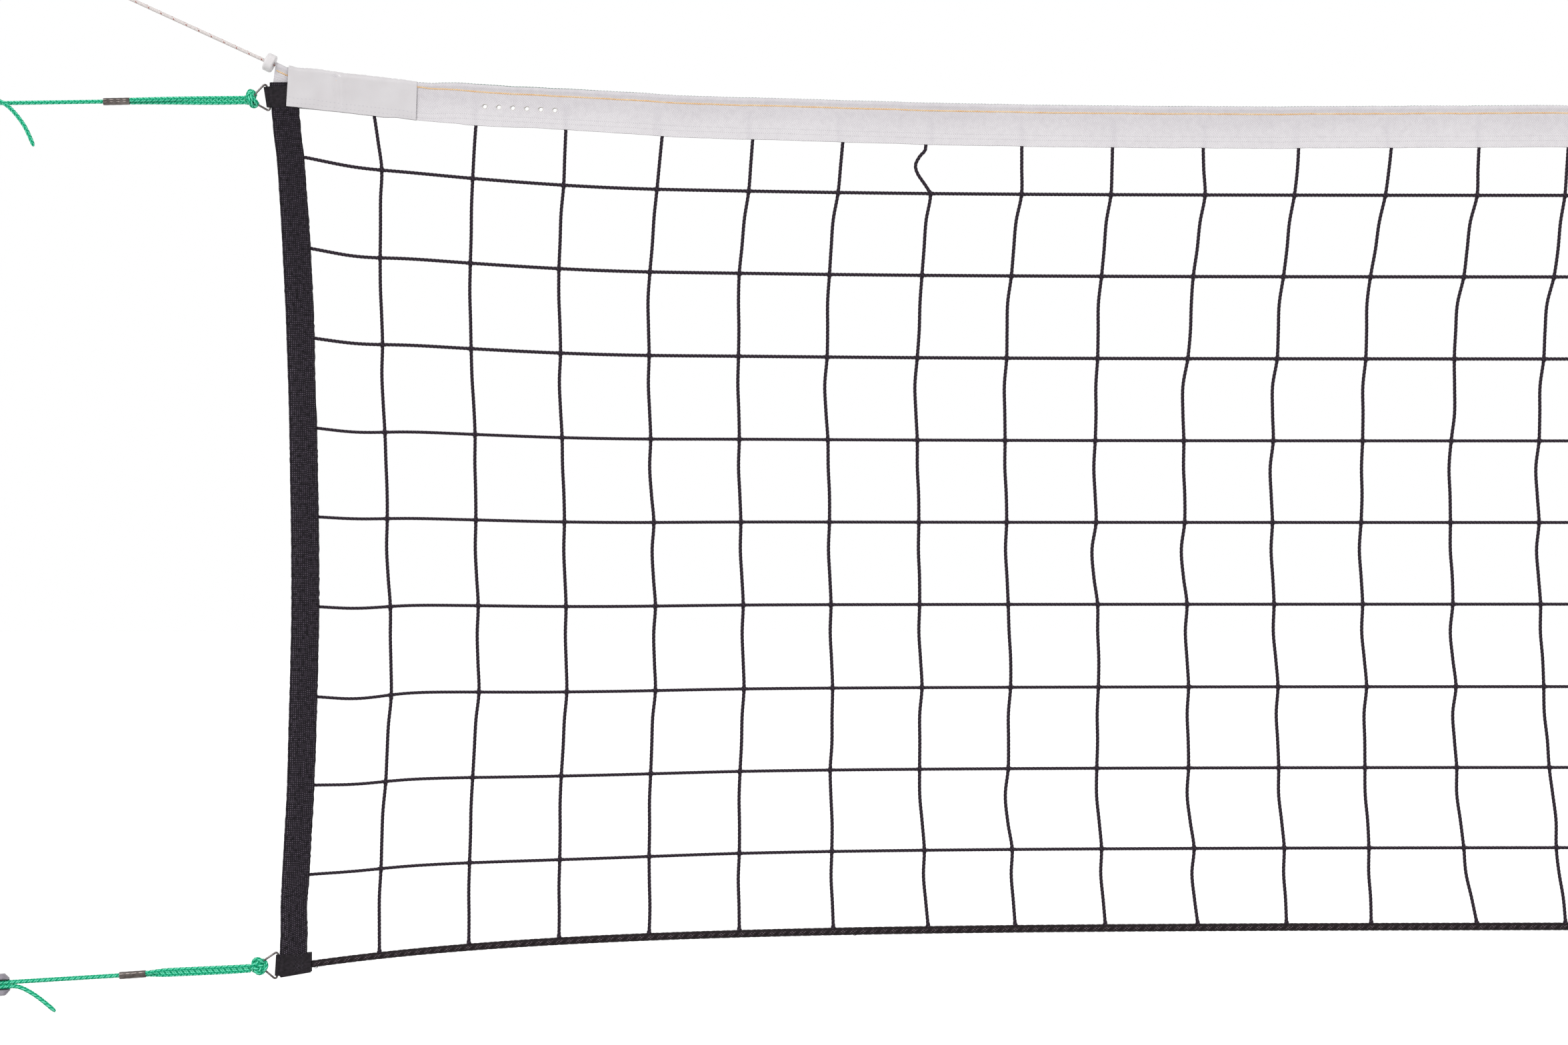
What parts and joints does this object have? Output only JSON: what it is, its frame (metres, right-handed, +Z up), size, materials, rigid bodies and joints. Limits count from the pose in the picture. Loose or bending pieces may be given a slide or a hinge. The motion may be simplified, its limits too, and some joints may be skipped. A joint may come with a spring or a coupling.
{
  "type": "volleyball net",
  "caption": "Full-width volleyball net with a folded top tape on a head rope, side bands, corner rings and cleated tension lines at each end.",
  "frame": {"origin": "centre of the bounding box of the net without its free cords", "axes": "+X runs along the net, +Z is up, and -Y faces the camera that took the picture"},
  "size_m": [10.3914, 0.029, 1.1789],
  "materials": {
    "net_twine": "matte",
    "tape_twill": "matte",
    "webbing_black": "matte",
    "sleeve_vinyl": "satin",
    "rope_white": "matte",
    "rope_black": "matte",
    "cord_green": "satin",
    "ring_steel": "polished",
    "crimp_steel": "satin",
    "cleat_plastic": "satin",
    "stopper_plastic": "satin"
  },
  "bodies": {
    "net": {"net_vertical_strands": "net_twine", "net_horizontal_strands": "net_twine", "top_tape": "tape_twill", "head_rope": "rope_white", "bottom_rope": "rope_black", "left_side_band": "webbing_black", "left_end_sleeve": "sleeve_vinyl", "left_head_rope_end": "rope_white", "left_head_rope_ferrule": "crimp_steel", "left_top_corner_loop": "webbing_black", "left_bottom_corner_loop": "webbing_black", "right_side_band": "webbing_black", "right_end_sleeve": "sleeve_vinyl", "right_head_rope_end": "rope_white", "right_head_rope_ferrule": "crimp_steel", "right_top_corner_loop": "webbing_black", "right_bottom_corner_loop": "webbing_black"},
    "left_stopper": {"left_rope_stopper": "stopper_plastic"},
    "left_top_line": {"left_top_ring": "ring_steel", "left_top_hitch": "cord_green", "left_top_eye_strands": "cord_green", "left_top_crimp_sleeve": "crimp_steel", "left_top_tension_cord": "cord_green"},
    "left_top_cleat_body": {"left_top_cleat": "cleat_plastic"},
    "left_bottom_line": {"left_bottom_ring": "ring_steel", "left_bottom_hitch": "cord_green", "left_bottom_eye_strands": "cord_green", "left_bottom_crimp_sleeve": "crimp_steel", "left_bottom_tension_cord": "cord_green"},
    "left_bottom_cleat_body": {"left_bottom_cleat": "cleat_plastic"},
    "right_stopper": {"right_rope_stopper": "stopper_plastic"},
    "right_top_line": {"right_top_ring": "ring_steel", "right_top_hitch": "cord_green", "right_top_eye_strands": "cord_green", "right_top_crimp_sleeve": "crimp_steel", "right_top_tension_cord": "cord_green"},
    "right_top_cleat_body": {"right_top_cleat": "cleat_plastic"},
    "right_bottom_line": {"right_bottom_ring": "ring_steel", "right_bottom_hitch": "cord_green", "right_bottom_eye_strands": "cord_green", "right_bottom_crimp_sleeve": "crimp_steel", "right_bottom_tension_cord": "cord_green"},
    "right_bottom_cleat_body": {"right_bottom_cleat": "cleat_plastic"}
  },
  "joints": [
    {"name": "left_stopper_slide", "type": "slide", "parent": "net", "child": "left_stopper", "axis": [-0.9092, 0, 0.4163], "range_m": [0, 0.05]},
    {"name": "left_top_ring_swing", "type": "hinge", "parent": "net", "child": "left_top_line", "pos_m": [-4.75209, 0, 0.4717], "axis": [0, 0, 1], "range_deg": [-60, 60]},
    {"name": "left_top_cleat_slide", "type": "slide", "parent": "left_top_line", "child": "left_top_cleat_body", "axis": [-0.9998, 0, -0.0218], "range_m": [0, 0.02]},
    {"name": "left_bottom_ring_swing", "type": "hinge", "parent": "net", "child": "left_bottom_line", "pos_m": [-4.74175, 0, -0.4953], "axis": [0, 0, 1], "range_deg": [-60, 60]},
    {"name": "left_bottom_cleat_slide", "type": "slide", "parent": "left_bottom_line", "child": "left_bottom_cleat_body", "axis": [-0.9976, 0, -0.0698], "range_m": [0, 0.02]},
    {"name": "right_stopper_slide", "type": "slide", "parent": "net", "child": "right_stopper", "axis": [0.9092, 0, 0.4163], "range_m": [0, 0.05]},
    {"name": "right_top_ring_swing", "type": "hinge", "parent": "net", "child": "right_top_line", "pos_m": [4.75209, 0, 0.4717], "axis": [0, 0, 1], "range_deg": [-60, 60]},
    {"name": "right_top_cleat_slide", "type": "slide", "parent": "right_top_line", "child": "right_top_cleat_body", "axis": [0.9998, 0, -0.0218], "range_m": [0, 0.02]},
    {"name": "right_bottom_ring_swing", "type": "hinge", "parent": "net", "child": "right_bottom_line", "pos_m": [4.74175, 0, -0.4953], "axis": [0, 0, 1], "range_deg": [-60, 60]},
    {"name": "right_bottom_cleat_slide", "type": "slide", "parent": "right_bottom_line", "child": "right_bottom_cleat_body", "axis": [0.9976, 0, -0.0698], "range_m": [0, 0.02]}
  ]
}
